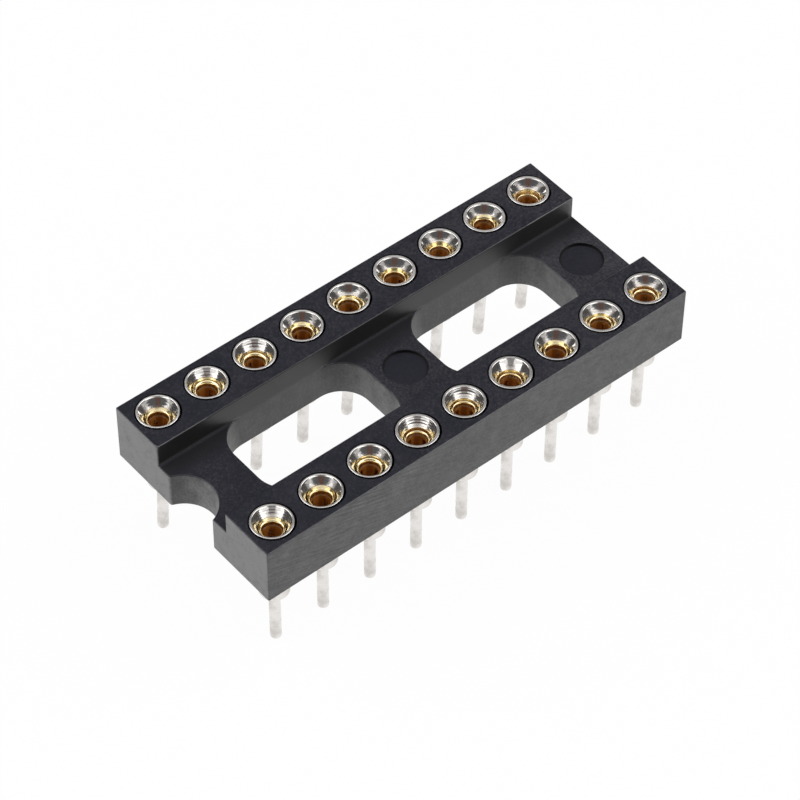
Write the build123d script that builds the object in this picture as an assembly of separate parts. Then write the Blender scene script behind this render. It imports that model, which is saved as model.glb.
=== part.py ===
from build123d import *
import os

# Open-frame dual-in-line socket with turned pins, all sizes in millimetres.
# +Z is up and +X runs along the two rows, away from the notch that marks pin 1.
# The origin is the centre of the tail grid, on the plane of the board that the
# sleeves' lower shoulders stand on.

# Pin grid
PINS_PER_ROW = 9
PITCH = 2.54
ROW_SPACING = 7.62

# Moulded insulator
STANDOFF = 1.43  # gap between the board and the underside
BODY_HEIGHT = 2.97
END_MARGIN = 1.24  # end face past the axis of the last pin
SIDE_MARGIN = 1.265  # long side past the axis of a row
RAIL_WIDTH = 2.805
RAIL_EDGE_BREAK = 0.06  # along the inner top edge of each rail
RAIL_END_RADIUS = 0.38  # inner ends of the rail on the +Y side
CHANNEL_DEPTH = 1.15  # top of the rails down to the cross bars
END_BAR = 2.84
MIDDLE_BAR = 2.81
WINDOW_CORNER = 1.45
NOTCH_HALF_WIDTH = 1.455
NOTCH_DEPTH = 1.05
NOTCH_CORNER = 0.15  # only on the +Y side, the other corner is sharp
MARK_DIAMETER = 1.94  # ejector pin marks in the floor of the channel
MARK_DEPTH = 0.13
HEAD_CLEARANCE = 0.04  # round a sleeve's head in its counterbore

# Turned sleeve
HEAD_DIAMETER = 1.87
HEAD_HEIGHT = 1.0
RIM_WIDTH = 0.085
CONE_DEPTH = 0.47
BORE_DIAMETER = 1.08
BORE_FLOOR = 0.5  # above the board plane
BARREL_WALL = 0.12
TAIL_DIAMETER = 0.5
TAIL_LENGTH = 3.1

# Contact clip pressed into the sleeve
COLLAR_WALL = 0.1
COLLAR_LENGTH = 0.4
LIP_DEPTH = 0.11  # slope of the mouth, from the end of the cone to the collar
FINGERS = 4
FINGER_WIDTH = 0.24
FINGER_THICKNESS = 0.07
GRIP_DIAMETER = 0.4  # between the relaxed fingers, where they hold a lead
GRIP_LENGTH = 0.4
GRIP_GROOVE = 0.03  # round seat for the lead, pressed into each flat finger
TIP_GAP = 0.5  # finger tips above the floor of the bore

GRID_LENGTH = (PINS_PER_ROW - 1) * PITCH
BODY_LENGTH = GRID_LENGTH + 2 * END_MARGIN
BODY_WIDTH = ROW_SPACING + 2 * SIDE_MARGIN
TOP = STANDOFF + BODY_HEIGHT
FLOOR = TOP - CHANNEL_DEPTH
CHANNEL_WIDTH = BODY_WIDTH - 2 * RAIL_WIDTH
BARREL_DIAMETER = BORE_DIAMETER + 2 * BARREL_WALL
CONE_END = TOP - CONE_DEPTH


def pin_axes():
    """(x, y) of every pin, up the -Y row from the notch and back along the +Y row."""
    row = [PITCH * n - GRID_LENGTH / 2 for n in range(PINS_PER_ROW)]
    near = [(x, -ROW_SPACING / 2) for x in row]
    far = [(x, ROW_SPACING / 2) for x in reversed(row)]
    return near + far


def block(length, width, low, high, x=0, y=0):
    """A box centred on (x, y) that stands from one height to another."""
    return Pos(x, y, (low + high) / 2) * Box(length, width, high - low)


def disc(diameter, low, high, x=0, y=0):
    """A cylinder on (x, y) that stands from one height to another."""
    return Pos(x, y, (low + high) / 2) * Cylinder(diameter / 2, high - low)


def turned(outline):
    """A solid turned about Z from (radius, height) corners."""
    return revolve(make_face(Plane.XZ * Polyline(*outline, close=True)), Axis.Z)


def upright_edges(solid, x, y, above):
    """Vertical edges at one (x, y) whose middle lies above a height."""
    return [
        edge
        for edge in solid.edges().filter_by(Axis.Z)
        if abs(edge.center().X - x) < 0.01
        and abs(edge.center().Y - y) < 0.01
        and edge.center().Z > above
    ]


def windows():
    """The two rounded openings between the cross bars."""
    start = MIDDLE_BAR / 2
    end = BODY_LENGTH / 2 - END_BAR
    outline = RectangleRounded(end - start, CHANNEL_WIDTH, WINDOW_CORNER)
    opening = Pos(0, 0, STANDOFF) * extrude(outline, FLOOR - STANDOFF)
    middle = (start + end) / 2
    return Pos(-middle, 0) * opening + Pos(middle, 0) * opening


def notch():
    """The round bite out of the cross bar at the pin 1 end."""
    radius = (NOTCH_HALF_WIDTH**2 + NOTCH_DEPTH**2) / (2 * NOTCH_DEPTH)
    centre = NOTCH_DEPTH - BODY_LENGTH / 2 - radius
    return disc(2 * radius, STANDOFF, FLOOR, centre)


def insulator():
    """The frame that carries both rows, with the cross bars below the rails."""
    end = BODY_LENGTH / 2
    wall = CHANNEL_WIDTH / 2
    frame = block(BODY_LENGTH, BODY_WIDTH, STANDOFF, TOP)
    frame -= block(BODY_LENGTH, CHANNEL_WIDTH, FLOOR, TOP)
    frame -= windows()
    frame -= notch()
    rail_ends = upright_edges(frame, -end, wall, FLOOR) + upright_edges(frame, end, wall, FLOOR)
    frame = fillet(rail_ends, RAIL_END_RADIUS)
    frame = fillet(upright_edges(frame, -end, NOTCH_HALF_WIDTH, STANDOFF), NOTCH_CORNER)
    rail_edges = [
        edge
        for edge in frame.edges().filter_by_position(Axis.Z, TOP, TOP)
        if abs(edge.center().Y) < wall + RAIL_END_RADIUS and abs(edge.center().X) < end
    ]
    frame = chamfer(rail_edges, RAIL_EDGE_BREAK)
    for x in (0, end - END_BAR / 2):
        frame -= disc(MARK_DIAMETER, FLOOR - MARK_DEPTH, FLOOR, x)
    seat = HEAD_DIAMETER + 2 * HEAD_CLEARANCE
    for x, y in pin_axes():
        frame -= disc(seat, TOP - HEAD_HEIGHT, TOP, x, y)
        frame -= disc(BARREL_DIAMETER, STANDOFF, TOP - HEAD_HEIGHT, x, y)
    return frame


def sleeve():
    """A turned terminal: cup, barrel with a blind bore, and solder tail."""
    head = HEAD_DIAMETER / 2
    barrel = BARREL_DIAMETER / 2
    bore = BORE_DIAMETER / 2
    tail = TAIL_DIAMETER / 2
    return turned(
        [
            (0, BORE_FLOOR),
            (bore, BORE_FLOOR),
            (bore, CONE_END),
            (head - RIM_WIDTH, TOP),
            (head, TOP),
            (head, TOP - HEAD_HEIGHT),
            (barrel, TOP - HEAD_HEIGHT),
            (barrel, 0),
            (tail, 0),
            (tail, -TAIL_LENGTH),
            (0, -TAIL_LENGTH),
        ]
    )


def finger(collar, bottom):
    """One flat finger on +X, from the collar's lower edge in to its straight tip."""
    tip = BORE_FLOOR + TIP_GAP
    bend = tip + GRIP_LENGTH
    inside = GRIP_DIAMETER / 2 - GRIP_GROOVE
    outline = Polyline(
        (collar, bottom),
        (collar + FINGER_THICKNESS, bottom),
        (inside + FINGER_THICKNESS, bend),
        (inside + FINGER_THICKNESS, tip),
        (inside, tip),
        (inside, bend),
        close=True,
    )
    return extrude(make_face(Plane.XZ * outline), FINGER_WIDTH / 2, both=True)


def clip():
    """A sprung contact: a collar pressed in the bore and flat fingers that close in below it."""
    outer = BORE_DIAMETER / 2
    inner = outer - COLLAR_WALL
    bottom = CONE_END - LIP_DEPTH - COLLAR_LENGTH
    body = turned(
        [
            (outer, CONE_END),
            (outer, bottom),
            (inner, bottom),
            (inner, CONE_END - LIP_DEPTH),
        ]
    )
    for turn in range(FINGERS):
        body += Rot(0, 0, 360 * turn / FINGERS) * finger(inner, bottom)
    tip = BORE_FLOOR + TIP_GAP
    return body - disc(GRIP_DIAMETER, tip, tip + GRIP_LENGTH)


os.makedirs("parts", exist_ok=True)
export_step(insulator(), "parts/insulator.step")
one_sleeve = sleeve()
one_clip = clip()
for number, (x, y) in enumerate(pin_axes(), 1):
    export_step(Pos(x, y) * one_sleeve, f"parts/terminal_sleeve_{number:02d}.step")
    export_step(Pos(x, y) * one_clip, f"parts/contact_clip_{number:02d}.step")
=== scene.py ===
"""Looks of an 18 pin open-frame dip socket with turned pins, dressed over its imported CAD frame."""

import math
import random
from collections import namedtuple
from types import SimpleNamespace

import bmesh
import bpy
from mathutils import Matrix, Vector


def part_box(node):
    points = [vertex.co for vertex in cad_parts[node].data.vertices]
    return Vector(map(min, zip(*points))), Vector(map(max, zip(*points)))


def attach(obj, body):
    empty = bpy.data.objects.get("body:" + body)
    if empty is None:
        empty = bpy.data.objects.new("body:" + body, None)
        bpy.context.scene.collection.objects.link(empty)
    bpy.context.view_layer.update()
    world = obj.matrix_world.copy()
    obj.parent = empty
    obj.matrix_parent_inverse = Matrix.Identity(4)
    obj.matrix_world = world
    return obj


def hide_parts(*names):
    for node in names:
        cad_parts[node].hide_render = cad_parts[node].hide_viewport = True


bl_info = {
    "name": "Turned-pin dip socket",
    "version": (1, 0, 0),
    "blender": (4, 5, 0),
    "location": "3D View > Sidebar > Dip Socket",
    "description": "Builds an open-frame dip socket with turned pins in a plain studio",
    "category": "Object",
}

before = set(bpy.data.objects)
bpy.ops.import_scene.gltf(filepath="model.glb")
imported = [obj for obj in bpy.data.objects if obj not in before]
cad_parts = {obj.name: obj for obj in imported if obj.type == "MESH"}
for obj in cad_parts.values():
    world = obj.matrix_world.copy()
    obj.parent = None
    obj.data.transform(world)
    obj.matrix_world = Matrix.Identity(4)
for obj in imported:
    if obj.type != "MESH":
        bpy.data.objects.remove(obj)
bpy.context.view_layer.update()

MM = 0.001
PINS = 18

# Three nodes' boxes in metres, and the places that they give in millimetres, from the socket's
# middle and over the board.
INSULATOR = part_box("insulator")
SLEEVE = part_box("terminal_sleeve_01")
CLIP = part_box("contact_clip_01")
END = INSULATOR[1].x / MM
SIDE = INSULATOR[1].y / MM
RAIL_TOP = INSULATOR[1].z / MM
UNDERSIDE = INSULATOR[0].z / MM
TAIL_TIP = SLEEVE[0].z / MM
CLIP_TOP = CLIP[1].z / MM
CLIP_FOOT = CLIP[0].z / MM

# Small sizes in millimetres, and two plain factors, that nobody would set by themselves.
MARKS = (0.0, 9.98)  # where the ejector marks lie along the socket
OVERLAP = 0.5  # how far shapes run into or past each other before they are joined or cut
MARK_DISH = 0.02  # how far a mark's floor rises to its middle
NECK = 0.03  # chamfer where a tail meets its barrel
HEAD_BREAK = 0.04  # chamfer under a head
RIM_ROUND = 0.03  # rounds on both sides of a cup's rim
LIP_HEIGHT = 0.11  # a clip's lip over its collar
LIP_GAP = 0.01  # between a clip's lip and the cone round it
LIP_EDGE = 0.004  # thickness of a lip at its top edge
FINGER_ROOT = 0.03  # how much thicker a finger is at its root
FINGER_CURVE = 1.6  # power of the curve on which the fingers close in
BACKING = 1.1  # how much faster than the cone a lip's back closes in

# What is drawn for each terminal lies between two ends. The seed of a draw is the number below plus
# the terminal's own number.
LEAN_SPREAD = (0.8, 1.2)  # share of the tails' lean
LEAN_ALONG = (-0.05, -0.01)  # a tail's lean along its row, in millimetres
STEP_SPREAD = (0.6, 1.2)  # share of a turning step's strength
WALL_SLANT = (0.03, 0.08)  # how far a lip's wall slants inwards, in millimetres
CLIP_TURN = (0.0, math.pi / 2)  # how far a clip is turned in its bore, in radians
CUP_SEED = 0
TURN_SEED = 100
LEAN_SEED = 200
SLANT_SEED = 300

# How finely things are made.
AROUND = 96  # points round a turned piece
EDGE_STEPS = 4
CORNER_STEPS = 6
CUT_STEPS = 7
NOTCH_STEPS = 28
WINDOW_STEPS = 14
CUP_STEPS = 12
LIP_STEPS = 10
WALL_STEPS = 2  # how many of the lip's steps are its steep wall
FINGER_STEPS = 8
FINGERS = 4
SLOT_STEPS = 6  # width of the slot between two fingers, in points round the clip
SMOOTH_ANGLE = math.radians(38)  # an edge that turns by more than this stays sharp

# The camera: its focal length in pixels of an 800 pixel picture, its place in millimetres and its
# angles in degrees.
PICTURE = 800
FOCAL = 3367.47
SENSOR = 36.0
CAMERA_PLACE = (-61.588, -73.030, 108.871)
AZIMUTH = -40.0093
ELEVATION = 48.4348
ROLL = 0.4558

# The studio: the side on which the viewer stands and the lamps' heights in degrees, and half the
# floor's width in millimetres.
VIEWER = -40.0
SIDE_LAMP_RISE = 40.0
TOP_LAMP_RISE = 88.0
FLOOR_REACH = 4000.0


def length(name, description, default):
    """A length in metres whose default is given in millimetres."""
    return bpy.props.FloatProperty(
        name=name,
        description=description,
        default=default * MM,
        min=0.0,
        precision=5,
        unit="LENGTH",
    )


def colour(name, description, default):
    """A colour, in linear values."""
    return bpy.props.FloatVectorProperty(
        name=name,
        description=description,
        default=default,
        min=0.0,
        max=1.0,
        size=3,
        subtype="COLOR",
    )


def power(name, description, default):
    """A lamp's power in watts."""
    return bpy.props.FloatProperty(
        name=name, description=description, default=default, min=0.0, unit="POWER"
    )


def share(name, description, default):
    """A plain number from 0 to 1."""
    return bpy.props.FloatProperty(
        name=name, description=description, default=default, min=0.0, max=1.0, subtype="FACTOR"
    )


class MouldedFrameSizes(bpy.types.PropertyGroup):
    rail_width: length("Rail width", "Width of each rail", 2.805)
    channel_depth: length("Channel depth", "Depth of the channel between the rails", 1.15)
    end_bar: length("End bar", "Length of each end bar along the socket", 2.84)
    middle_bar: length("Middle bar", "Length of the bar between the windows", 2.81)
    window_corner: length("Window corner", "Radius of the windows' corners", 1.45)
    notch_half_width: length("Notch half width", "Half the width of the end notch", 1.455)
    notch_depth: length("Notch depth", "Depth of the end notch", 1.05)
    notch_corner: length("Notch corner", "Round at one mouth of the notch", 0.15)
    mark_diameter: length("Mark diameter", "Diameter of the ejector marks", 1.94)
    mark_depth: length("Mark depth", "Depth of the ejector marks", 0.13)
    edge_round: length("Edge round", "Round on the moulded edges", 0.05)
    rail_corner: length("Rail corner", "Round at the upright corners of the rails", 0.07)
    channel_shift: length("Channel shift", "Channel and windows off the middle, to -Y", 0.05)
    corner_cut: length("Corner cut", "Worn round at an inner corner, along Y and down", 0.36)
    corner_reach: length("Corner reach", "How far that worn round runs along X", 0.15)
    counterbore: length("Counterbore", "Diameter of the seat of a head", 2.0)
    counterbore_depth: length("Counterbore depth", "Depth of the seat of a head", 1.0)
    seat_shift: length("Seat shift", "How far the seats lie off their pins towards -Y", 0.03)
    pin_hole: length("Pin hole", "Diameter of the hole for a barrel", 1.32)


class TurnedSleeveSizes(bpy.types.PropertyGroup):
    head: length("Head", "Diameter of the head", 1.85)
    head_height: length("Head height", "Height of the head", 1.0)
    bore: length("Bore", "Diameter of the bore under the cone", 1.08)
    bore_floor: length("Bore floor", "Height of the bore's floor over the board", 0.5)
    barrel: length("Barrel", "Diameter of the barrel", 1.32)
    barrel_chamfer: length("Barrel chamfer", "Chamfer at the barrel's lower edge", 0.06)
    tail: length("Tail", "Diameter of the solder tail", 0.5)
    tail_round: length("Tail round", "Round at the tip of the tail", 0.14)
    tail_lean: length("Tail lean", "How far the +Y row's tails lean outwards at their tips", 0.16)


class SprungClipSizes(bpy.types.PropertyGroup):
    collar: length("Collar", "Outer diameter of the pressed collar", 1.08)
    hole: length("Hole", "Diameter of the hole through the collar", 0.86)
    collar_length: length("Collar length", "Length of the round collar", 0.4)
    shoulder: share("Shoulder", "Part of the lip's height that its steep wall takes", 0.45)
    finger_thickness: length("Finger thickness", "Thickness of the sprung fingers", 0.07)
    grip: length("Grip", "Diameter of the relaxed grip", 0.4)
    grip_length: length("Grip length", "Length of the grip", 0.4)


class Finishes(bpy.types.PropertyGroup):
    moulding: colour("Moulding", "Colour of level moulded faces", (0.005, 0.005, 0.0132))
    # Upright faces get a paler colour than level ones: painted light, as the floor and lamps light
    # them more.
    moulding_side_painted_light: colour("Moulding sides", "Colour of upright ones", (0.016, 0.016, 0.0165))
    # Painted shade: the colour of the moulding's sheltered and dark places.
    moulding_shade: colour("Moulding shade", "Colour in its dark places", (0.0015, 0.0015, 0.0015))
    # Painted light rides on this colour too: the paler outsides and end faces, a lit area at the far
    # wall's end, edge highlights and a pale line at the walls' foot.
    moulding_haze_and_painted_light: colour("Moulding haze", "Pale haze on the moulding", (0.15, 0.15, 0.15))
    tin: colour("Tin", "Colour of the tin plate", (0.80, 0.775, 0.75))
    tin_stain: colour("Tin stain", "Colour of duller spots on the tin", (0.50, 0.465, 0.43))
    gold: colour("Gold", "Colour of the gold plate", (0.90, 0.795, 0.53))
    # Painted light: the two colours below stand in for light bounced many times between the gold
    # walls of the bore.
    painted_bore_amber: colour("Amber", "Colour of the gold deep in the bore", (0.58, 0.24, 0.045))
    painted_bore_glow: colour("Glow", "Colour of the gold near the grip", (0.9, 0.5, 0.16))
    floor: colour("Floor", "Colour of the studio floor", (0.9, 0.9, 0.9))


class StudioSettings(bpy.types.PropertyGroup):
    lamp_power: power("Lamp power", "Power of each side lamp", 0.98)
    top_power: power("Top power", "Power of the lamp overhead", 0.3)
    lamp_size: length("Lamp size", "Side of each soft lamp", 360.0)
    lamp_distance: length("Lamp distance", "Distance of each soft lamp", 400.0)
    room: share("Room", "Brightness of the unlit room", 0.1)
    stand: colour("Stand", "Colour of the dark stand that the cups mirror", (0.118, 0.075, 0.062))


class DipSocketSettings(bpy.types.PropertyGroup):
    moulded_frame: bpy.props.PointerProperty(
        type=MouldedFrameSizes, name="Moulded frame", description="Sizes of the moulded frame"
    )
    turned_sleeve: bpy.props.PointerProperty(
        type=TurnedSleeveSizes, name="Turned sleeve", description="Sizes of the turned sleeves"
    )
    sprung_clip: bpy.props.PointerProperty(
        type=SprungClipSizes, name="Sprung clip", description="Sizes of the sprung clips"
    )
    finishes: bpy.props.PointerProperty(
        type=Finishes, name="Finishes", description="Colours of the finishes"
    )
    studio: bpy.props.PointerProperty(
        type=StudioSettings, name="Studio", description="Lamps and room"
    )


class Value:
    """A socket in an expression: each operator adds its Math node."""

    def __init__(self, paint, socket):
        self.paint = paint
        self.socket = socket

    def maths(self, operation, *values):
        sockets = dict(enumerate(values))
        return self.paint.node("ShaderNodeMath", {"operation": operation}, sockets)

    def __add__(self, other):
        return self.maths("ADD", self, other)

    def __radd__(self, other):
        return self.maths("ADD", other, self)

    def __sub__(self, other):
        return self.maths("SUBTRACT", self, other)

    def __rsub__(self, other):
        return self.maths("SUBTRACT", other, self)

    def __mul__(self, other):
        return self.maths("MULTIPLY", self, other)

    def __rmul__(self, other):
        return self.maths("MULTIPLY", other, self)

    def __truediv__(self, other):
        return self.maths("DIVIDE", self, other)

    def __rtruediv__(self, other):
        return self.maths("DIVIDE", other, self)

    def most(self, other):
        return self.maths("MAXIMUM", self, other)

    def least(self, other):
        return self.maths("MINIMUM", self, other)

    def size(self):
        return self.maths("ABSOLUTE", self)

    def wave(self):
        return self.maths("SINE", self)

    def root(self):
        return self.maths("SQRT", self)


class Paint:
    """Nodes of one material or world."""

    def __init__(self, owner):
        owner.use_nodes = True
        self.tree = owner.node_tree
        self.tree.nodes.clear()

    def node(self, kind, settings=None, sockets=None, output=0):
        """One output of a new node, its settings set before its sockets."""
        made = self.tree.nodes.new(kind)
        for name, value in (settings or {}).items():
            setattr(made, name, value)
        for name, value in (sockets or {}).items():
            socket = self.find(made.inputs, name)
            if isinstance(value, Value):
                self.tree.links.new(value.socket, socket)
            elif socket.type == "RGBA":
                socket.default_value = (*value, 1.0)
            else:
                socket.default_value = value
        return Value(self, self.find(made.outputs, output))

    @staticmethod
    def find(sockets, name):
        """A socket by number, by identifier or by name."""
        if isinstance(name, int):
            return sockets[name]
        for socket in sockets:
            if socket.identifier == name:
                return socket
        return sockets[name]

    def place(self):
        """Object coordinates in millimetres."""
        at = self.node("ShaderNodeTexCoord", output="Object")
        return self.stretched(at, (1 / MM, 1 / MM, 1 / MM))

    def stretched(self, vector, scale):
        sockets = {"Vector": vector, "Scale": scale}
        return self.node("ShaderNodeMapping", {"vector_type": "POINT"}, sockets)

    def turned(self, vector, rotation):
        sockets = {"Vector": vector, "Rotation": rotation}
        return self.node("ShaderNodeMapping", {"vector_type": "POINT"}, sockets)

    def parts(self, vector):
        """The three numbers of a vector."""
        split = self.node("ShaderNodeSeparateXYZ", sockets={"Vector": vector}).socket.node
        return [Value(self, socket) for socket in split.outputs]

    def noise(self, vector, scale, detail=2.0, roughness=0.5, distortion=0.0):
        sockets = {
            "Vector": vector,
            "Scale": scale,
            "Detail": detail,
            "Roughness": roughness,
            "Distortion": distortion,
        }
        return self.node("ShaderNodeTexNoise", sockets=sockets)

    def ease(self, value, start, end):
        """0 before start, 1 after end, and smooth between them."""
        sockets = {"Value": value, "From Min": start, "From Max": end}
        return self.node("ShaderNodeMapRange", {"interpolation_type": "SMOOTHSTEP"}, sockets)

    def mix(self, factor, first, second):
        """A colour between two colours."""
        sockets = {"Factor_Float": factor, "A_Color": first, "B_Color": second}
        settings = {"data_type": "RGBA"}
        return self.node("ShaderNodeMix", settings, sockets, "Result_Color")

    def bump(self, height, strength, distance):
        sockets = {"Strength": strength, "Distance": distance, "Height": height}
        return self.node("ShaderNodeBump", sockets=sockets)

    def surface(self, sockets):
        """Ends a material with its Principled shader."""
        self.output(self.node("ShaderNodeBsdfPrincipled", sockets=sockets))

    def output(self, shader, kind="ShaderNodeOutputMaterial"):
        made = self.tree.nodes.new(kind)
        self.tree.links.new(shader.socket, made.inputs["Surface"])


def finish(name):
    """A new material of that name, and its paint."""
    material = bpy.data.materials.new(name)
    return material, Paint(material)


def moulding_masks(paint, at, sizes):
    """Where each part of the moulding's finish lies, painted light and shade among them. Every mask
    runs from 0 to 1.
    """
    x, y, z = paint.parts(at)
    nx, _, nz = paint.parts(paint.node("ShaderNodeNewGeometry", output="True Normal"))
    floor = RAIL_TOP - sizes.channel_depth / MM
    wall = SIDE - sizes.rail_width / MM
    corner = sizes.window_corner / MM
    bar_foot = sizes.middle_bar / MM / 2 + corner
    end_bar_foot = END - sizes.end_bar / MM - corner
    mark = sizes.mark_diameter / MM / 2
    upright = paint.ease(nz.size(), 0.6, 0.2)
    low = paint.ease(z, floor + 0.15, floor + 0.05)
    sunk = (1 - upright) * low
    outside = paint.ease(y.size(), SIDE - 0.375, SIDE - 0.125)
    outside = outside.most(paint.ease(x.size(), END - 0.1, END - 0.01))

    # Painted light: a pale rounded area at the +X end of the +Y rail's inner wall, with painted
    # shade beyond its arched edge.
    past = (x - (END - 0.8)).most(0.0)
    over = (z - (RAIL_TOP - 0.5)).most(0.0)
    painted_light_patch = paint.ease((past * past + over * over).root(), 0.48, 0.64)
    painted_light_patch = painted_light_patch * paint.ease(x, END - 0.8, END - 0.6)

    # The ejector marks, and painted shade in a dark ring at their edge.
    beside = x - MARKS[1]
    from_mark = (x * x + y * y).least(beside * beside + y * y).root()
    marked = paint.ease(from_mark, mark + 0.11, mark + 0.05)
    ring_shade = paint.ease(from_mark, mark - 0.09, mark - 0.03)
    ring_shade = ring_shade * paint.ease(from_mark, mark + 0.04, mark) * low
    dish = paint.ease(z, floor - 0.03, floor - 0.07) * paint.ease(z, floor - 0.35, floor - 0.25)

    # The rounded top edges that face the viewer: a painted highlight on them, but beside the windows
    # a painted dark reflection instead.
    inner = paint.ease(y, 0.0, 1.0)
    rounds = paint.ease(nz, 0.2, 0.35) * paint.ease(nz, 0.97, 0.9)
    rounds = rounds * paint.ease(z, RAIL_TOP - 0.15, RAIL_TOP - 0.1)
    rounds = rounds * paint.ease(y, 0.575 - SIDE, 0.175 - SIDE).most(inner)
    painted_dark_edge = paint.ease(x.size(), 8.9, 8.7) * inner

    # Painted highlight: the pale line where a bar's floor meets the rails' walls, up the wall and on
    # the floor.
    over_bar = paint.ease(x.size(), bar_foot + 0.045, bar_foot - 0.155)
    over_bar = over_bar.most(paint.ease(x.size(), end_bar_foot - 0.06, end_bar_foot + 0.14))
    foot = over_bar * (upright - outside).most(0.0) * paint.ease(y.size(), wall - 0.17, wall - 0.07)
    foot = foot * paint.ease(z, floor + 0.13, floor + 0.05)
    foot = foot * paint.ease(z, floor - 0.05, floor - 0.01)

    # Upright faces made pale, partly with painted light: the outsides, the walls' low parts and the
    # lit area at the far wall's end. The other upright faces get painted shade.
    hazy_and_lit = outside.most(paint.ease(z, floor + 0.15, floor - 0.15)).most(painted_light_patch)
    return SimpleNamespace(
        upright=upright,
        facing_end=paint.ease(nx.size(), 0.5, 0.95),
        outside=outside,
        painted_light_patch=painted_light_patch,
        ring_shade=ring_shade,
        dish=dish,
        hazy_and_lit=hazy_and_lit * upright * (1 - marked),
        sunk=sunk,
        # Painted reflection of the far rail's dark wall, darkening the floor beside it.
        near=sunk * paint.ease(y, wall - 1.37, wall - 0.37),
        rounds=rounds,
        painted_dark_edge=painted_dark_edge,
        foot=foot * (1 - marked),
        # The same painted highlight on the floor at the wall's foot.
        ledge=sunk * over_bar * paint.ease(y, wall - 0.19, wall - 0.12),
    )


def moulding_streaks(paint, at, x):
    """Flow streaks that slant down the long sides, stronger towards the notch and in places."""
    slanted = paint.turned(at, (0.0, math.radians(-18.7), 0.0))
    streaks = paint.noise(paint.stretched(slanted, (0.35, 0.35, 7.2)), 1.6, 4.0, 0.65, 0.15) - 0.5
    drift = paint.noise(paint.stretched(at, (0.12, 0.12, 0.5)), 1.0, 1.0)
    return streaks * (0.45 + 0.8 * paint.ease(x, 0.0, -9.0) + 0.9 * paint.ease(drift, 0.48, 0.62))


def moulding_finish(finishes, sizes):
    """Satin black polyester: fine glass grain, and pale outsides with slanting flow streaks, their
    paleness partly painted light, and painted shade in its sheltered places.
    """
    material, paint = finish("moulding")
    at = paint.place()
    x = paint.parts(at)[0]
    on = moulding_masks(paint, at, sizes)
    streaks = moulding_streaks(paint, at, x) * (1 - on.facing_end)
    bands = paint.noise(paint.stretched(at, (1.5, 1.5, 0.15)), 1.4, 2.0, 0.5) - 0.5
    blotches = paint.noise(at, 0.55, 3.0, 0.55) - 0.5
    soft = paint.noise(at, 1.5, 3.0, 0.6) - 0.5
    grain = paint.noise(at, 26.0, 2.0, 0.6) - 0.5
    speckle = paint.noise(at, 9.0, 2.0, 0.6) - 0.5
    fibres = paint.noise(paint.stretched(at, (3.0, 14.0, 14.0)), 2.2, 2.0, 0.6)

    # Haze on upright faces, partly painted light: the long outsides are paler and the end faces
    # paler still, as the lamps and the white floor light them. The streaks, bands, blotches and
    # grain are the moulding's own.
    side = on.outside * (0.24 + streaks)
    side = side + (1 - on.outside) * (0.15 + bands * 0.45 + on.painted_light_patch * 0.07)
    side = side + on.facing_end * (0.44 + on.outside * 0.31) + blotches * 0.2
    side = side + soft * (0.6 + on.facing_end * 1.2) + speckle * (0.7 + on.facing_end * 0.5)
    side = side + grain * 0.8

    # Haze on level faces, paler towards +X and fading into the corner at the far rail's wall; that
    # fading is a painted reflection of the dark wall.
    level = 0.036 + x * 0.0055 + grain * 0.9 + speckle * 0.6 + blotches * 0.2
    level = level + on.sunk * (paint.ease(x, -9.0, -3.0) * 0.05 + paint.ease(x, 8.0, 11.0) * 0.02)
    level = level + paint.ease(fibres, 0.64, 0.8) * 0.1
    level = level * (1 - (on.dish * 0.8).most(on.ring_shade).most(on.near))
    # Painted highlight along the rounded top edges, uneven along their length.
    wear_or_painted_light = on.rounds * (1 - on.painted_dark_edge) * (0.16 + paint.noise(at, 1.7, 3.0, 0.7) * 0.6)
    haze_and_painted_light = on.hazy_and_lit * side + (1 - on.upright) * level + wear_or_painted_light + on.foot * 0.24 + on.ledge * 0.12

    # Painted shade where no light gets in, and painted dark reflections on the edges beside the
    # windows and on the floor by the far wall.
    shade = (on.upright - on.hazy_and_lit).most(0.0) * (1 - on.rounds) * (0.95 - on.foot * 0.3)
    shade = shade.most(on.ring_shade * 0.8).most(on.rounds * on.painted_dark_edge * 0.8)
    shade = shade.most(on.near * (1 - on.ledge) * 0.7)
    # Painted light: upright faces take the paler colour, level faces the darker one.
    plain = paint.mix(on.upright, tuple(finishes.moulding), tuple(finishes.moulding_side_painted_light))
    plain = paint.mix(shade, plain, tuple(finishes.moulding_shade))
    tint = paint.mix(haze_and_painted_light.most(0.0).least(1.0), plain, tuple(finishes.moulding_haze_and_painted_light))
    relief = grain * 0.6 + fibres * 0.25 + streaks * 0.5 * on.upright
    paint.surface(
        {
            "Base Color": tint,
            "Roughness": 0.42 + blotches * 0.12 + grain * 0.1,
            "IOR": 1.58,
            "Normal": paint.bump(relief, 0.35, 0.00002),
        }
    )
    return material


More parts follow.
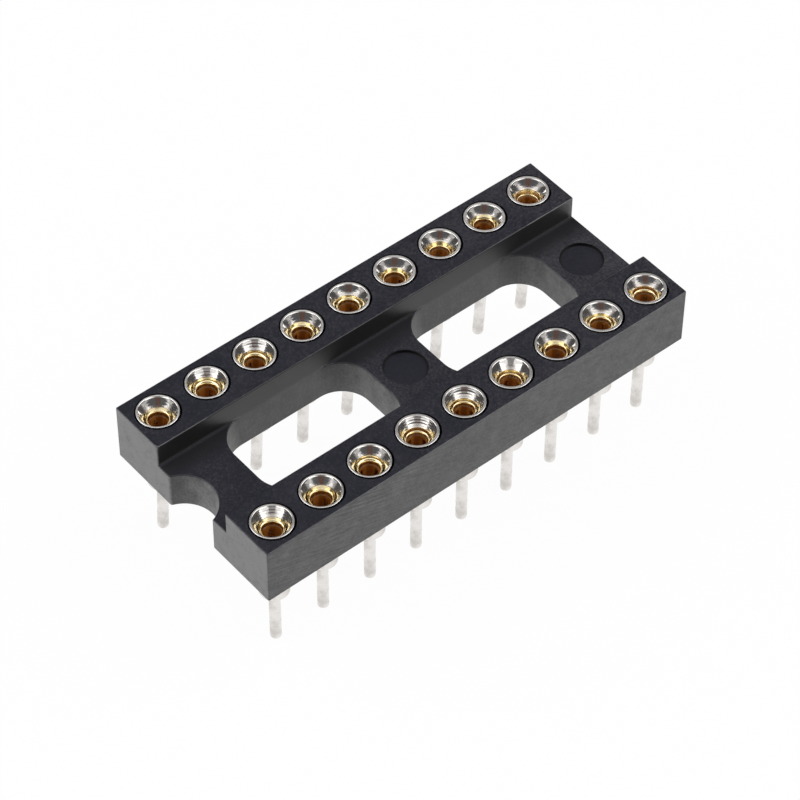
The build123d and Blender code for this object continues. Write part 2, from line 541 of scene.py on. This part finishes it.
def tin_finish(finishes):
    """Bright tin over turned brass: a mirror in the cup, satin on the rim with painted light, stains
    on the tail.
    """
    material, paint = finish("tin_plate")
    at = paint.place()
    x, y, z = paint.parts(at)
    nz = paint.parts(paint.node("ShaderNodeNewGeometry", output="True Normal"))[2]
    radius = (x * x + y * y).root()
    rim = paint.ease(nz, 0.93, 0.99) * paint.ease(z, RAIL_TOP - 0.1, RAIL_TOP - 0.05)
    cup = paint.ease(z, RAIL_TOP - 0.7, RAIL_TOP - 0.6) * paint.ease(radius, 0.9, 0.86) * (1 - rim)
    foot = paint.ease(radius, 0.7, 0.58)
    run = paint.noise(at, 3.0, 3.0, 0.6)
    stain = paint.noise(at, 1.6, 3.0, 0.6) + paint.ease(z, -0.8, -3.0) * 0.1
    stain = paint.ease(stain, 0.42, 0.72)
    lines = paint.noise(paint.stretched(at, (0.6, 0.6, 34.0)), 1.0, 2.0, 0.6)
    rings = ((radius * 1.1 + z) * 70.0 + run * 3.0).wave() * 0.5 + lines
    # Painted light: the rims are made less metallic and so paler, more on the +Y row, which the
    # lamps light more.
    row = paint.parts(paint.node("ShaderNodeNewGeometry", output="Position"))[1] / MM
    wear_or_painted_light = rim * (0.06 + paint.ease(row, -1.0, 1.0) * 0.2 + (run - 0.5) * 0.3).most(0.0)
    tint = paint.mix(stain * (1 - cup) * 0.55, tuple(finishes.tin), tuple(finishes.tin_stain))
    rough = 0.2 + stain * 0.2 + (lines - 0.5) * 0.1
    rough = rough * (1 - cup) + cup * (0.08 + (run - 0.5) * 0.08 + foot * 0.08) + rim * 0.16
    paint.surface(
        {
            "Base Color": tint,
            "Metallic": 1 - wear_or_painted_light,
            "Roughness": rough,
            "Normal": paint.bump(rings * (1 - cup * 0.8), 0.25, 0.000004),
        }
    )
    return material


def gold_finish(finishes):
    """Gold plate over sprung copper alloy: bright at the lip, dull reddish brown further down the
    bore, which is painted light bounced many times off the gold walls.
    """
    material, paint = finish("gold_plate")
    at = paint.place()
    z = paint.parts(at)[2]
    # Painted light: deep in the bore the gold is painted a duller, less metallic reddish brown, and
    # lower down an orange, for light bounced many times off gold.
    deep = paint.ease(z, CLIP_TOP - 0.2, CLIP_TOP - 0.42)
    low = paint.ease(z, CLIP_TOP - 0.8, CLIP_TOP - 1.7)
    uneven = paint.noise(at, 4.0, 3.0, 0.6)
    drawn = paint.ease(paint.noise(paint.stretched(at, (5.0, 5.0, 0.5)), 1.0, 2.0), 0.35, 0.65)
    gold = tuple(finishes.gold)
    painted_bore_amber = tuple(finishes.painted_bore_amber)
    shaded = tuple(channel * shade for channel, shade in zip(gold, (0.93, 0.88, 0.76)))
    dark = tuple(channel * shade for channel, shade in zip(painted_bore_amber, (0.55, 0.45, 0.35)))
    bright = paint.mix(paint.ease(uneven, 0.35, 0.7), gold, shaded)
    inside = paint.mix(drawn, dark, painted_bore_amber)
    inside = paint.mix(low * 0.6, inside, tuple(finishes.painted_bore_glow))
    tint = paint.mix(deep, bright, inside)
    paint.surface(
        {
            "Base Color": tint,
            "Metallic": 1 - deep * 0.8,
            "Roughness": 0.16 + (uneven - 0.5) * 0.12 + deep * 0.35,
            "Normal": paint.bump(uneven, 0.3, 0.00001),
        }
    )
    return material


def floor_finish(finishes):
    """White floor: plain white to the camera and to gloss, but still a little darker in shadow."""
    material, paint = finish("floor")
    rays = "ShaderNodeLightPath"
    seen = paint.node(rays, output="Is Camera Ray").most(paint.node(rays, output="Is Glossy Ray"))
    seen = seen.most(paint.node(rays, output="Is Transmission Ray"))
    grain = paint.noise(paint.place(), 0.4, 2.0)
    tint = paint.mix(grain * 0.04, tuple(finishes.floor), (1.0, 1.0, 1.0))
    matt = paint.node("ShaderNodeBsdfPrincipled", sockets={"Base Color": tint, "Roughness": 0.9})
    white = paint.node("ShaderNodeEmission", sockets={"Color": (1.0, 1.0, 1.0), "Strength": 1.0})
    paint.output(paint.node("ShaderNodeMixShader", sockets={0: seen * 0.965, 1: matt, 2: white}))
    return material


def mesh_piece(name, shape, material, at=(0.0, 0.0, 0.0)):
    """An object from a bmesh. The bmesh is in millimetres round its own origin, as is the place."""
    mesh = bpy.data.meshes.new(name)
    bmesh.ops.scale(shape, vec=(MM, MM, MM), verts=shape.verts)
    shape.to_mesh(mesh)
    shape.free()
    mesh.materials.append(material)
    piece = bpy.data.objects.new(name, mesh)
    piece.location = Vector(at) * MM
    bpy.context.scene.collection.objects.link(piece)
    return piece


def arc(centre, radius, start, end, count):
    """Points on an arc between two angles in degrees, both ends included."""
    x, y = centre
    turns = [math.radians(start + (end - start) * n / count) for n in range(count + 1)]
    return [Vector((x + radius * math.cos(t), y + radius * math.sin(t))) for t in turns]


def direction(azimuth, elevation):
    """The way from the socket to a viewer at these angles in degrees. Azimuth 0 looks along +Y."""
    turn = math.radians(azimuth)
    rise = math.radians(elevation)
    flat = math.cos(rise)
    return Vector((math.sin(turn) * flat, -math.cos(turn) * flat, math.sin(rise)))


def quarter(count):
    """Angles of a quarter turn, in radians."""
    return [math.pi / 2 * n / count for n in range(count + 1)]


def inset(outline, amount):
    """An anticlockwise outline moved inwards by an even amount."""
    moved = []
    for n, point in enumerate(outline):
        before = (point - outline[n - 1]).normalized()
        after = (outline[(n + 1) % len(outline)] - point).normalized()
        first = Vector((-before.y, before.x))
        second = Vector((-after.y, after.x))
        moved.append(point + (first + second) * amount / (1 + first.dot(second)))
    return moved


def slab(plan, low, high, low_round, high_round, between=()):
    """A closed plate with rounded edges. plan(z) is its outline at a height, and between holds the
    heights at which it has more rows of points."""
    shape = bmesh.new()
    edge = [(1 - math.sin(t), 1 - math.cos(t)) for t in quarter(EDGE_STEPS)]
    levels = [(low_round * by, low + low_round * rise) for by, rise in edge]
    levels += [(0.0, z) for z in between]
    levels += [(high_round * by, high - high_round * fall) for by, fall in reversed(edge)]
    loops = [[shape.verts.new((*point, z)) for point in inset(plan(z), by)] for by, z in levels]
    for lower, upper in zip(loops, loops[1:]):
        for n in range(len(lower)):
            after = (n + 1) % len(lower)
            shape.faces.new((lower[n], lower[after], upper[after], upper[n]))
    shape.faces.new(list(reversed(loops[0])))
    shape.faces.new(loops[-1])
    return shape


def turned(profile):
    """A closed round solid. The profile of (radius, height) runs anticlockwise, axis to axis."""
    shape = bmesh.new()
    turns = [2 * math.pi * n / AROUND for n in range(AROUND)]
    rings = []
    for radius, z in profile:
        if radius == 0:
            rings.append([shape.verts.new((0.0, 0.0, z))])
        else:
            ring = [(radius * math.cos(t), radius * math.sin(t), z) for t in turns]
            rings.append([shape.verts.new(point) for point in ring])
    for lower, upper in zip(rings, rings[1:]):
        for n in range(AROUND):
            after = (n + 1) % AROUND
            corners = [lower[n % len(lower)], lower[after % len(lower)]]
            corners += [upper[after % len(upper)], upper[n % len(upper)]]
            corners = [c for k, c in enumerate(corners) if c not in corners[:k]]
            shape.faces.new(corners)
    return shape


def combined(name, shape, others, operation):
    """A piece after a boolean with each of the other shapes."""
    piece = mesh_piece(name, shape, bpy.data.materials["moulding"])
    tools = [mesh_piece(f"{name}_tool", other, bpy.data.materials["moulding"]) for other in others]
    for tool in tools:
        step = piece.modifiers.new("step", "BOOLEAN")
        step.operation = operation
        step.solver = "EXACT"
        step.object = tool
    view = bpy.context.evaluated_depsgraph_get()
    mesh = bpy.data.meshes.new_from_object(piece.evaluated_get(view))
    for thing in (piece, *tools):
        old = thing.data
        bpy.data.objects.remove(thing)
        bpy.data.meshes.remove(old)
    result = bmesh.new()
    result.from_mesh(mesh)
    bpy.data.meshes.remove(mesh)
    bmesh.ops.scale(result, vec=(1 / MM, 1 / MM, 1 / MM), verts=result.verts)
    return result


def smoothed(piece):
    """Smooth rounds beside flat faces: sharp edges by angle, and normals weighted by area."""
    piece.data.shade_smooth()
    piece.data.set_sharp_from_angle(angle=SMOOTH_ANGLE)
    weighted = piece.modifiers.new("weighted normals", "WEIGHTED_NORMAL")
    weighted.keep_sharp = True
    weighted.weight = 100
    return piece


def placed(piece, node):
    """Ties a piece to the frame."""
    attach(piece, "root")
    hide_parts(node)


def pin_axis(number):
    """Middle of a pin in plan, in millimetres."""
    low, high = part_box(f"terminal_sleeve_{number:02d}")
    return (low.x + high.x) / 2 / MM, (low.y + high.y) / 2 / MM


def corner_round(centre, across, along, start):
    """Points on a quarter of an ellipse, anticlockwise from an angle in degrees."""
    x, y = centre
    turns = [math.radians(start) + t for t in quarter(CORNER_STEPS)]
    return [Vector((x + across * math.cos(t), y + along * math.sin(t))) for t in turns]


def rail_outline(side, sizes, z):
    """Plan of one rail at a height. side is -1 for the rail of pin 1 and 1 for the other."""
    inner = SIDE - sizes.rail_width / MM - side * sizes.channel_shift / MM
    soft = sizes.rail_corner / MM
    across, along = soft, soft
    cut = sizes.corner_cut / MM
    rise = z - (RAIL_TOP - cut)
    if side > 0 and rise > 0:
        wear_or_painted_light = 1 - math.sqrt(1 - min(rise / cut, 1) ** 2)
        across += (sizes.corner_reach / MM - soft) * wear_or_painted_light
        along += (cut - soft) * wear_or_painted_light
    outline = corner_round((-END + across, inner + along), across, along, 180)
    outline += corner_round((END - soft, inner + soft), soft, soft, 270)
    outline += corner_round((END - soft, SIDE - soft), soft, soft, 0)
    outline += corner_round((-END + soft, SIDE - soft), soft, soft, 90)
    if side < 0:
        outline = [Vector((-p.x, -p.y)) for p in outline]
    return outline


def bar_reach(sizes):
    """How far from the middle a bar's plan ends, which is inside the rails."""
    return SIDE - sizes.rail_width / MM + OVERLAP


def notch_side(sizes):
    """The end face at pin 1 with its notch, from +Y to -Y."""
    half = sizes.notch_half_width / MM
    depth = sizes.notch_depth / MM
    small = sizes.notch_corner / MM
    radius = (half * half + depth * depth) / (2 * depth)
    middle = -END + depth - radius
    rise = math.sqrt((radius + small) ** 2 - (-END + small - middle) ** 2)
    meet = math.degrees(math.atan2(rise, -END + small - middle))
    mouth = math.degrees(math.atan2(half, -END - middle))
    points = [Vector((-END, bar_reach(sizes)))]
    points += arc((-END + small, rise), small, 180, 180 + meet, CORNER_STEPS)
    points += arc((middle, 0.0), radius, meet, -mouth, NOTCH_STEPS)[1:]
    points += [Vector((-END, -bar_reach(sizes)))]
    return points


def window_end(x, way, sizes):
    """A bar's side at a window, from -Y to +Y where the window lies at larger x (way 1)."""
    corner = sizes.window_corner / MM
    flat = SIDE - sizes.rail_width / MM - corner
    shift = sizes.channel_shift / MM
    centre = x + way * corner
    points = [Vector((centre, -bar_reach(sizes)))]
    points += arc((centre, -flat - shift), corner, -90, -90 - 90 * way, WINDOW_STEPS)
    points += arc((centre, flat - shift), corner, 90 + 90 * way, 90, WINDOW_STEPS)
    points += [Vector((centre, bar_reach(sizes)))]
    return points if way > 0 else list(reversed(points))


class DIP_SOCKET_OT_moulded_frame(bpy.types.Operator):
    """Builds the moulded frame with its rails, bars, windows, notch and marks"""

    bl_idname = "dip_socket.moulded_frame"
    bl_label = "Moulded frame"

    def execute(self, context):
        sizes = context.scene.dip_socket.moulded_frame
        material = moulding_finish(context.scene.dip_socket.finishes, sizes)
        floor = RAIL_TOP - sizes.channel_depth / MM
        body, *others = self.rails(sizes) + self.bars(floor, sizes)
        body = combined("body", body, others, "UNION")
        seats = [self.seat(number, sizes) for number in range(1, PINS + 1)]
        body = combined("bored", body, seats, "DIFFERENCE")
        marks = [self.mark(x, floor, sizes) for x in MARKS]
        body = combined("marked", body, marks, "DIFFERENCE")
        piece = smoothed(mesh_piece("moulded_frame", body, material))
        placed(piece, "insulator")
        return {"FINISHED"}

    @staticmethod
    def rails(sizes):
        """Both rails, with rows of points down the worn corner."""
        soft = sizes.edge_round / MM
        cut = sizes.corner_cut / MM
        clear = soft * 1.2  # keeps the last row off the top edge's round
        between = [RAIL_TOP - cut + (cut - clear) * n / CUT_STEPS for n in range(CUT_STEPS + 1)]
        plans = [lambda z, side=side: rail_outline(side, sizes, z) for side in (-1, 1)]
        return [slab(plan, UNDERSIDE, RAIL_TOP, soft / 2, soft, between) for plan in plans]

    @staticmethod
    def bars(floor, sizes):
        """The notched bar, the middle bar and the plain end bar."""
        soft = sizes.edge_round / MM
        middle = sizes.middle_bar / MM / 2
        inner = END - sizes.end_bar / MM
        plain_end = [Vector((END, -bar_reach(sizes))), Vector((END, bar_reach(sizes)))]
        plans = [
            notch_side(sizes) + window_end(-inner, 1, sizes),
            window_end(-middle, -1, sizes) + window_end(middle, 1, sizes),
            window_end(inner, -1, sizes) + plain_end,
        ]
        return [slab(lambda z, plan=plan: plan, UNDERSIDE, floor, soft / 2, soft) for plan in plans]

    @staticmethod
    def seat(number, sizes):
        """What a head's seat and a barrel's hole take out of a rail."""
        wide = sizes.counterbore / MM / 2
        narrow = sizes.pin_hole / MM / 2
        ledge = RAIL_TOP - sizes.counterbore_depth / MM
        profile = [(0, UNDERSIDE - OVERLAP), (narrow, UNDERSIDE - OVERLAP), (narrow, ledge)]
        profile += [(wide, ledge), (wide, RAIL_TOP + OVERLAP), (0, RAIL_TOP + OVERLAP)]
        shape = turned(profile)
        x, y = pin_axis(number)
        bmesh.ops.translate(shape, vec=(x, y - sizes.seat_shift / MM, 0.0), verts=shape.verts)
        return shape

    @staticmethod
    def mark(x, floor, sizes):
        """What a round ejector mark takes out of the channel's floor."""
        radius = sizes.mark_diameter / MM / 2
        depth = sizes.mark_depth / MM
        profile = [(0, floor - depth + MARK_DISH), (radius, floor - depth)]
        profile += [(radius, floor + OVERLAP), (0, floor + OVERLAP)]
        shape = turned(profile)
        bmesh.ops.translate(shape, vec=(x, 0.0, 0.0), verts=shape.verts)
        return shape


# One line for each terminal, because each was turned and pressed a little differently. The cone's
# normal stands rim_rise over the level at the rim and foot_rise at the foot, in degrees, and steps
# is how strongly the turning steps show. mouth is the cone's radius at the top. The clip's lip
# starts and ends that far under the rail's top. Lengths are in millimetres.
Cup = namedtuple("Cup", "rim_rise foot_rise steps mouth lip_start lip_end")
CUPS = (
    Cup(31.0, 29.5, 0.25, 0.82, 0.42, 0.62),
    Cup(33.4, 33.2, 0.00, 0.83, 0.36, 0.67),
    Cup(33.8, 33.0, 0.06, 0.83, 0.36, 0.65),
    Cup(31.0, 30.0, 0.45, 0.80, 0.45, 0.77),
    Cup(33.0, 29.0, 0.30, 0.81, 0.45, 0.70),
    Cup(29.5, 29.0, 0.00, 0.79, 0.45, 0.79),
    Cup(33.6, 33.0, 0.06, 0.82, 0.39, 0.66),
    Cup(33.4, 29.0, 0.06, 0.80, 0.45, 0.67),
    Cup(32.5, 30.5, 0.06, 0.79, 0.46, 0.76),
    Cup(33.6, 29.5, 0.06, 0.80, 0.50, 0.90),
    Cup(33.6, 33.2, 0.00, 0.79, 0.42, 0.73),
    Cup(33.2, 30.0, 0.06, 0.80, 0.47, 0.79),
    Cup(33.4, 33.4, 0.00, 0.79, 0.41, 0.71),
    Cup(33.4, 29.0, 0.06, 0.82, 0.43, 0.65),
    Cup(33.6, 33.0, 0.15, 0.82, 0.38, 0.60),
    Cup(30.0, 29.5, 0.25, 0.82, 0.42, 0.66),
    Cup(30.0, 29.0, 0.20, 0.82, 0.36, 0.65),
    Cup(33.6, 33.2, 0.10, 0.83, 0.39, 0.62),
)


class DIP_SOCKET_OT_turned_sleeves(bpy.types.Operator):
    """Builds the eighteen turned sleeves with their cups, barrels and tails"""

    bl_idname = "dip_socket.turned_sleeves"
    bl_label = "Turned sleeves"

    def execute(self, context):
        sizes = context.scene.dip_socket.turned_sleeve
        material = tin_finish(context.scene.dip_socket.finishes)
        for number in range(1, PINS + 1):
            shape = turned(self.profile(number, sizes))
            x, y = pin_axis(number)
            if y > 0:
                self.lean(shape, number, sizes)
            piece = mesh_piece(f"turned_sleeve_{number:02d}", shape, material, (x, y, 0.0))
            placed(smoothed(piece), f"terminal_sleeve_{number:02d}")
        return {"FINISHED"}

    @staticmethod
    def lean(shape, number, sizes):
        """Slants what is below the board seat, a little differently on each sleeve."""
        draw = random.Random(LEAN_SEED + number)
        out = sizes.tail_lean / MM * draw.uniform(*LEAN_SPREAD)
        along = draw.uniform(*LEAN_ALONG)
        for vert in shape.verts:
            part = max(vert.co.z / TAIL_TIP, 0.0)
            vert.co.x += along * part
            vert.co.y += out * part

    def profile(self, number, sizes):
        """Half section of a sleeve, from the tail's tip up the outside and down into the bore."""
        head = sizes.head / MM / 2
        barrel = sizes.barrel / MM / 2
        tail = sizes.tail / MM / 2
        soft = sizes.tail_round / MM
        chamfer = sizes.barrel_chamfer / MM
        bore = sizes.bore / MM / 2
        floor = sizes.bore_floor / MM
        under = RAIL_TOP - sizes.head_height / MM
        rim = RAIL_TOP - RIM_ROUND
        turns = [(math.sin(t), math.cos(t)) for t in quarter(CORNER_STEPS)]
        points = [(0, TAIL_TIP)]
        points += [(tail - soft + soft * s, TAIL_TIP + soft - soft * c) for s, c in turns]
        points += [(tail, -NECK), (tail + NECK, 0.0), (barrel - chamfer, 0.0), (barrel, chamfer)]
        points += [(barrel, under), (head - HEAD_BREAK, under), (head, under + HEAD_BREAK)]
        points += [(head - RIM_ROUND + RIM_ROUND * c, rim + RIM_ROUND * s) for s, c in turns]
        points += self.cup(number, bore)
        points += [(bore, floor), (0, floor)]
        return points

    @staticmethod
    def cup(number, bore):
        """The cone from its rounded rim down to the bore, with its turning steps."""
        draw = random.Random(CUP_SEED + number)
        cup = CUPS[number - 1]
        rim = RAIL_TOP - RIM_ROUND
        turns = [(1 - math.sin(t), math.cos(t)) for t in quarter(EDGE_STEPS)]
        points = [(cup.mouth + RIM_ROUND * s, rim + RIM_ROUND * c) for s, c in turns]
        radius, z = points[-1]
        step = (radius - bore) / CUP_STEPS
        for n in range(CUP_STEPS):
            rise = cup.rim_rise + (cup.foot_rise - cup.rim_rise) * n / (CUP_STEPS - 1)
            deep = 1 if n % 3 == 0 else -0.4  # every third turn cuts deeper
            slope = math.tan(math.radians(rise))
            slope *= 1 + cup.steps * deep * draw.uniform(*STEP_SPREAD)
            radius -= step
            z -= step / slope
            points.append((radius, z))
        return points


class DIP_SOCKET_OT_sprung_clips(bpy.types.Operator):
    """Builds the eighteen contact clips with their collars and sprung fingers"""

    bl_idname = "dip_socket.sprung_clips"
    bl_label = "Sprung clips"

    def execute(self, context):
        sizes = context.scene.dip_socket.sprung_clip
        material = gold_finish(context.scene.dip_socket.finishes)
        for number in range(1, PINS + 1):
            x, y = pin_axis(number)
            shape = self.clip(number, sizes)
            piece = mesh_piece(f"sprung_clip_{number:02d}", shape, material, (x, y, 0.0))
            placed(smoothed(piece), f"contact_clip_{number:02d}")
        return {"FINISHED"}

    @staticmethod
    def rows(number, sizes):
        """Half section of a clip, lip first: rows of an outer and an inner (radius, height)."""
        cup = CUPS[number - 1]
        lean = math.tan(math.radians((cup.rim_rise + cup.foot_rise) / 2))
        slant = random.Random(SLANT_SEED + number).uniform(*WALL_SLANT)
        outer = sizes.collar / MM / 2
        hole = sizes.hole / MM / 2
        thick = sizes.finger_thickness / MM
        grip = sizes.grip / MM / 2
        flare = max(cup.mouth - cup.lip_start * lean - LIP_GAP, outer)
        edge = flare - LIP_EDGE
        shoulder = cup.lip_start + (cup.lip_end - cup.lip_start) * sizes.shoulder
        collar_end = CLIP_TOP - sizes.collar_length / MM - LIP_HEIGHT
        grip_top = CLIP_FOOT + sizes.grip_length / MM
        inside = []
        for n in range(WALL_STEPS + 1):
            part = n / WALL_STEPS
            inside.append((edge - slant * part, cup.lip_start + (shoulder - cup.lip_start) * part))
        for t in quarter(LIP_STEPS - WALL_STEPS)[1:]:
            inner = hole + (edge - slant - hole) * (1 - math.sin(t))
            inside.append((inner, shoulder + (cup.lip_end - shoulder) * (1 - math.cos(t))))
        rows = []
        for inner, under in inside:
            backed = max(flare - (under - cup.lip_start) * lean * BACKING, outer)
            rows.append(((backed, RAIL_TOP - under), (inner, RAIL_TOP - under)))
        rows.append(((outer, collar_end), (hole, collar_end)))
        for n in range(1, FINGER_STEPS + 1):
            part = n / FINGER_STEPS
            inner = hole + (grip - hole) * part**FINGER_CURVE
            back = min(inner + thick + FINGER_ROOT * (1 - part), outer)
            z = collar_end + (grip_top - collar_end) * part
            rows.append(((back, z), (inner, z)))
        rows.append(((grip + thick, CLIP_FOOT), (grip, CLIP_FOOT)))
        return rows

    def clip(self, number, sizes):
        """A round collar whose lower end is cut into four fingers that close in to the grip."""
        rows = self.rows(number, sizes)
        turn = random.Random(TURN_SEED + number).uniform(*CLIP_TURN)
        shape = bmesh.new()
        made = {}

        def corner(row, n, side):
            key = (row, n % AROUND, side)
            if key not in made:
                radius, z = rows[row][side]
                t = 2 * math.pi * key[1] / AROUND + turn
                made[key] = shape.verts.new((radius * math.cos(t), radius * math.sin(t), z))
            return made[key]

        def metal(row, n):
            """Whether there is metal between this row and the next, at the nth step round."""
            if not 0 <= row < len(rows) - 1:
                return False
            return row <= LIP_STEPS or n % AROUND % (AROUND // FINGERS) >= SLOT_STEPS

        def face(*corners):
            shape.faces.new([corner(*place) for place in corners])

        for row in range(len(rows) - 1):
            for n in range(AROUND):
                if not metal(row, n):
                    continue
                face((row, n, 0), (row + 1, n, 0), (row + 1, n + 1, 0), (row, n + 1, 0))
                face((row, n, 1), (row, n + 1, 1), (row + 1, n + 1, 1), (row + 1, n, 1))
                if not metal(row - 1, n):
                    face((row, n, 0), (row, n + 1, 0), (row, n + 1, 1), (row, n, 1))
                if not metal(row + 1, n):
                    face((row + 1, n, 1), (row + 1, n + 1, 1), (row + 1, n + 1, 0), (row + 1, n, 0))
                if not metal(row, n - 1):
                    face((row, n, 0), (row, n, 1), (row + 1, n, 1), (row + 1, n, 0))
                if not metal(row, n + 1):
                    face((row, n + 1, 1), (row, n + 1, 0), (row + 1, n + 1, 0), (row + 1, n + 1, 1))
        return shape


class DIP_SOCKET_OT_studio(bpy.types.Operator):
    """Builds the floor, the soft lamps, the room and the camera"""

    bl_idname = "dip_socket.studio"
    bl_label = "Studio"

    def execute(self, context):
        settings = context.scene.dip_socket.studio
        self.camera(context)
        self.floor(context.scene.dip_socket.finishes)
        self.room(context, settings)
        self.lamp("left_lamp", 90.0, SIDE_LAMP_RISE, settings, settings.lamp_power)
        self.lamp("right_lamp", -90.0, SIDE_LAMP_RISE, settings, settings.lamp_power)
        self.lamp("top_lamp", 0.0, TOP_LAMP_RISE, settings, settings.top_power)
        context.scene.view_settings.view_transform = "Standard"
        return {"FINISHED"}

    @staticmethod
    def camera(context):
        """The photo's view: a long lens, fitted to the eighteen terminals."""
        lens = bpy.data.cameras.new("camera")
        lens.sensor_width = SENSOR
        lens.lens = FOCAL / PICTURE * SENSOR
        lens.clip_start = 0.01
        lens.clip_end = 10.0
        camera = bpy.data.objects.new("camera", lens)
        context.scene.collection.objects.link(camera)
        back = direction(AZIMUTH, ELEVATION)
        right = Vector((0, 0, 1)).cross(back).normalized()
        turn = Matrix((right, back.cross(right), back)).transposed()
        roll = Matrix.Rotation(math.radians(ROLL), 3, "Z")
        place = Matrix.Translation(Vector(CAMERA_PLACE) * MM)
        camera.matrix_world = place @ (turn @ roll).to_4x4()
        context.scene.camera = camera

    @staticmethod
    def floor(finishes):
        """A white floor at the tails' tips."""
        shape = bmesh.new()
        bmesh.ops.create_grid(shape, x_segments=2, y_segments=2, size=FLOOR_REACH)
        floor = mesh_piece("floor", shape, floor_finish(finishes), (0.0, 0.0, TAIL_TIP))

    @staticmethod
    def lamp(name, turn, rise, settings, watts):
        """A square soft lamp, turn degrees to the viewer's left and rise degrees over the floor."""
        light = bpy.data.lights.new(name, "AREA")
        light.shape = "SQUARE"
        light.size = settings.lamp_size
        light.energy = watts
        lamp = bpy.data.objects.new(name, light)
        bpy.context.scene.collection.objects.link(lamp)
        out = direction(VIEWER - turn, rise)
        lamp.location = out * settings.lamp_distance
        lamp.rotation_mode = "QUATERNION"
        lamp.rotation_quaternion = out.to_track_quat("Z", "Y")

    @staticmethod
    def room(context, settings):
        """Dim room with a pale horizon and ceiling, and a dark stand on the viewer's side."""
        world = bpy.data.worlds.new("room")
        context.scene.world = world
        paint = Paint(world)
        x, y, z = paint.parts(paint.node("ShaderNodeTexCoord", output="Generated"))
        viewer = direction(VIEWER, 0.0)
        near = x * viewer.x + y * viewer.y
        left = x * viewer.y - y * viewer.x
        horizon = paint.ease(z, 0.225, 0.195)
        facing = paint.ease(near, 0.0, 0.1)
        stand = paint.ease(left.size() - near * 0.27, 0.02, -0.02) * facing
        gap = paint.ease(left.size() - near * 0.32, 0.02, -0.02) * facing
        ceiling = paint.ease(z, 0.78, 0.84) * paint.ease(near, -0.35, -0.2)
        white = (1.0, 1.0, 1.0)
        half = (0.5, 0.5, 0.5)
        grey = (settings.room, settings.room, settings.room * 1.04)
        pale = paint.mix(paint.ease(near, 0.35, 0.6), half, white)
        tint = paint.mix(horizon * (1 - gap * 0.75), grey, pale)
        stand = stand * (1 - horizon) * paint.ease(z, 0.5, 0.42)
        tint = paint.mix(stand, tint, tuple(settings.stand))
        tint = paint.mix(ceiling, tint, half)
        rays = "ShaderNodeLightPath"
        seen = paint.node(rays, output="Is Camera Ray")
        seen = seen.most(paint.node(rays, output="Is Transmission Ray"))
        tint = paint.mix(seen, tint, white)
        paint.output(
            paint.node("ShaderNodeBackground", sockets={"Color": tint, "Strength": 1.0}),
            "ShaderNodeOutputWorld",
        )


class DIP_SOCKET_PT_pieces(bpy.types.Panel):
    """Lists the pieces, and the sizes and colours that can be set"""

    bl_idname = "DIP_SOCKET_PT_pieces"
    bl_label = "Dip Socket"
    bl_space_type = "VIEW_3D"
    bl_region_type = "UI"
    bl_category = "Dip Socket"

    def draw(self, context):
        for operator in OPERATORS:
            self.layout.operator(operator.bl_idname)
        settings = context.scene.dip_socket
        for name in ("moulded_frame", "turned_sleeve", "sprung_clip", "finishes", "studio"):
            group = getattr(settings, name)
            box = self.layout.box()
            for setting in group.bl_rna.properties:
                if setting.identifier not in ("rna_type", "name"):
                    box.prop(group, setting.identifier)


GROUPS = (
    MouldedFrameSizes,
    TurnedSleeveSizes,
    SprungClipSizes,
    Finishes,
    StudioSettings,
    DipSocketSettings,
)
OPERATORS = (
    DIP_SOCKET_OT_studio,
    DIP_SOCKET_OT_moulded_frame,
    DIP_SOCKET_OT_turned_sleeves,
    DIP_SOCKET_OT_sprung_clips,
)


def register():
    for made in (*GROUPS, *OPERATORS, DIP_SOCKET_PT_pieces):
        bpy.utils.register_class(made)
    bpy.types.Scene.dip_socket = bpy.props.PointerProperty(type=DipSocketSettings)


def unregister():
    del bpy.types.Scene.dip_socket
    for made in reversed((*GROUPS, *OPERATORS, DIP_SOCKET_PT_pieces)):
        bpy.utils.unregister_class(made)


def main():
    register()
    bpy.ops.dip_socket.studio()
    bpy.ops.dip_socket.moulded_frame()
    bpy.ops.dip_socket.turned_sleeves()
    bpy.ops.dip_socket.sprung_clips()


if __name__ == "__main__":
    main()
